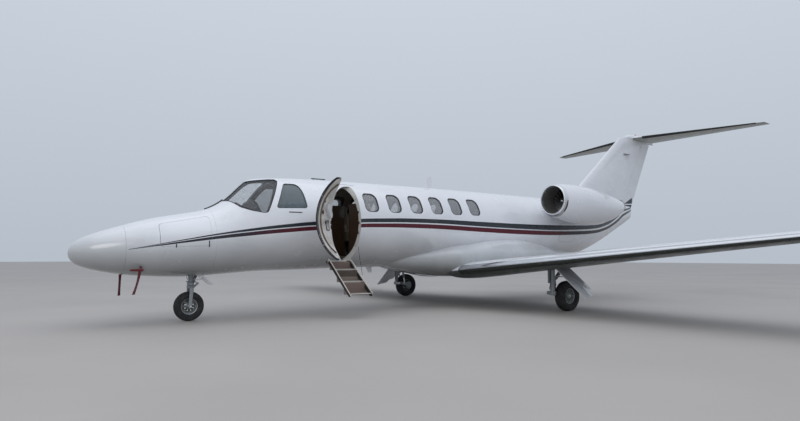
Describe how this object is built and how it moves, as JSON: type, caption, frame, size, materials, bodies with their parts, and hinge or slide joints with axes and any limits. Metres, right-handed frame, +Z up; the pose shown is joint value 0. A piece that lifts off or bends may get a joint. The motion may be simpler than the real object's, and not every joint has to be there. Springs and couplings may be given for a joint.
{
  "type": "business jet",
  "caption": "Light twin-engine business jet with a T-tail, low straight wing and tricycle gear, parked with its cabin door open and airstair down.",
  "frame": {"origin": "middle of the length and of the span, on the ground under the wheels", "axes": "+X aft, -Y to the port side, +Y to starboard, +Z up"},
  "size_m": [15.458, 16.26, 4.6175],
  "materials": {
    "body_paint": "glossy white paint with a navy and a maroon stripe",
    "wing_paint": "glossy white paint, with polished leading edges on the wing and dark boots on the tailplane",
    "fairing_paint": "glossy white paint on laminate",
    "glazing": "clear tinted panes",
    "engine_metal": "bare metal",
    "fan_metal": "satin titanium grey",
    "tyre": "matte black rubber",
    "rim_metal": "grey cast metal",
    "gear_metal": "light grey enamel with bright pistons",
    "stair_trim": "brown carpeted treads between bright rails",
    "carpet": "brown carpet",
    "veneer": "dark brown veneer under a clear coat",
    "seat_leather": "cream leather",
    "cockpit_leather": "dark grey leather",
    "panel_plastic": "matte black"
  },
  "bodies": {
    "airframe": {"nose_section": "body_paint", "cabin_shell": "body_paint", "tail_section": "body_paint", "tail_cone": "body_paint", "fin": "body_paint", "pylon_left": "body_paint", "pylon_right": "body_paint", "wing_left": "wing_paint", "wing_right": "wing_paint", "stabilizer": "wing_paint", "nose_cone": "fairing_paint", "belly_fairing": "fairing_paint", "nacelle_left": "fairing_paint", "nacelle_right": "fairing_paint", "nose_gear_door": "fairing_paint", "main_gear_door_left": "fairing_paint", "main_gear_door_right": "fairing_paint", "windshield_left": "glazing", "windshield_right": "glazing", "side_window_left": "glazing", "side_window_right": "glazing", "cabin_windows_left": "glazing", "cabin_windows_right": "glazing", "engine_left": "engine_metal", "engine_right": "engine_metal", "nose_leg": "gear_metal", "main_leg_left": "gear_metal", "main_leg_right": "gear_metal", "main_arm_left": "gear_metal", "main_arm_right": "gear_metal", "airstair": "stair_trim", "cabin_floor": "carpet", "cabin_divider": "veneer", "cabin_closet": "veneer", "cabin_seats_left": "seat_leather", "cabin_seats_right": "seat_leather", "pilot_seat": "cockpit_leather", "copilot_seat": "cockpit_leather", "instrument_panel": "panel_plastic"},
    "cabin_door": {"cabin_door": "body_paint"},
    "baggage_door": {"baggage_door": "body_paint"},
    "nose_baggage_door_left": {"nose_baggage_door_left": "body_paint"},
    "nose_baggage_door_right": {"nose_baggage_door_right": "body_paint"},
    "flap_left": {"flap_left": "wing_paint"},
    "flap_right": {"flap_right": "wing_paint"},
    "aileron_left": {"aileron_left": "wing_paint"},
    "aileron_right": {"aileron_right": "wing_paint"},
    "elevator_left": {"elevator_left": "wing_paint"},
    "elevator_right": {"elevator_right": "wing_paint"},
    "rudder": {"rudder": "wing_paint"},
    "fan_left": {"fan_left": "fan_metal"},
    "fan_right": {"fan_right": "fan_metal"},
    "nose_steering": {"nose_fork": "gear_metal"},
    "nose_wheel": {"nose_tyre": "tyre", "nose_rim": "rim_metal"},
    "main_wheel_left": {"main_tyre_left": "tyre", "main_rim_left": "rim_metal"},
    "main_wheel_right": {"main_tyre_right": "tyre", "main_rim_right": "rim_metal"}
  },
  "joints": [
    {"name": "cabin_door_hinge", "type": "hinge", "parent": "airframe", "child": "cabin_door", "pos_m": [-4.049, -0.797, 1.59], "axis": [0, 0, 1], "range_deg": [0, 139]},
    {"name": "baggage_door_hinge", "type": "hinge", "parent": "airframe", "child": "baggage_door", "pos_m": [2.169, -0.74016, 1.34428], "axis": [0.9979, 0.0649, -0.0009], "range_deg": [0, 100]},
    {"name": "nose_baggage_door_left_hinge", "type": "hinge", "parent": "airframe", "child": "nose_baggage_door_left", "pos_m": [-6.541, -0.31933, 1.51801], "axis": [-0.9776, 0.0731, -0.1975], "range_deg": [0, 80]},
    {"name": "nose_baggage_door_right_hinge", "type": "hinge", "parent": "airframe", "child": "nose_baggage_door_right", "pos_m": [-6.541, 0.31933, 1.51801], "axis": [0.9776, 0.0731, 0.1975], "range_deg": [0, 80]},
    {"name": "flap_left_hinge", "type": "hinge", "parent": "airframe", "child": "flap_left", "pos_m": [0.5279, -1.08, 0.75213], "axis": [0.0514, 0.9939, -0.0977], "range_deg": [0, 35]},
    {"name": "flap_right_hinge", "type": "hinge", "parent": "airframe", "child": "flap_right", "pos_m": [0.5279, 1.08, 0.75213], "axis": [-0.0514, 0.9939, 0.0977], "range_deg": [0, 35]},
    {"name": "aileron_left_hinge", "type": "hinge", "parent": "airframe", "child": "aileron_left", "pos_m": [0.29773, -5.53, 1.18926], "axis": [0.0515, 0.9944, -0.0925], "range_deg": [-20, 20]},
    {"name": "aileron_right_hinge", "type": "hinge", "parent": "airframe", "child": "aileron_right", "pos_m": [0.29773, 5.53, 1.18926], "axis": [-0.0515, 0.9944, 0.0925], "range_deg": [-20, 20]},
    {"name": "elevator_left_hinge", "type": "hinge", "parent": "airframe", "child": "elevator_left", "pos_m": [7.26606, -0.19, 4.49], "axis": [-0.1116, 0.9937, 0], "range_deg": [-19, 15]},
    {"name": "elevator_right_hinge", "type": "hinge", "parent": "airframe", "child": "elevator_right", "pos_m": [7.26606, 0.19, 4.49], "axis": [0.1116, 0.9937, 0], "range_deg": [-19, 15]},
    {"name": "rudder_hinge", "type": "hinge", "parent": "airframe", "child": "rudder", "pos_m": [5.909, 0, 2.525], "axis": [0.5178, 0, 0.8555], "range_deg": [-25, 25]},
    {"name": "fan_left_spin", "type": "hinge", "parent": "airframe", "child": "fan_left", "pos_m": [1.569, -1.31, 2.235], "axis": [1, 0, 0], "continuous": true},
    {"name": "fan_right_spin", "type": "hinge", "parent": "airframe", "child": "fan_right", "pos_m": [1.569, 1.31, 2.235], "axis": [1, 0, 0], "continuous": true},
    {"name": "nose_steer", "type": "hinge", "parent": "airframe", "child": "nose_steering", "pos_m": [-6.061, 0, 0.53], "axis": [0, 0, 1], "range_deg": [-60, 60]},
    {"name": "nose_wheel_spin", "type": "hinge", "parent": "nose_steering", "child": "nose_wheel", "pos_m": [-6.081, 0, 0.229], "axis": [0, 1, 0], "continuous": true},
    {"name": "main_wheel_left_spin", "type": "hinge", "parent": "airframe", "child": "main_wheel_left", "pos_m": [0.039, -2.48, 0.28], "axis": [0, 1, 0], "continuous": true},
    {"name": "main_wheel_right_spin", "type": "hinge", "parent": "airframe", "child": "main_wheel_right", "pos_m": [0.039, 2.48, 0.28], "axis": [0, 1, 0], "continuous": true}
  ],
  "couplings": [
    {"joint": "flap_right_hinge", "follows": "flap_left_hinge", "ratio": 1},
    {"joint": "aileron_right_hinge", "follows": "aileron_left_hinge", "ratio": -1},
    {"joint": "elevator_right_hinge", "follows": "elevator_left_hinge", "ratio": 1}
  ]
}
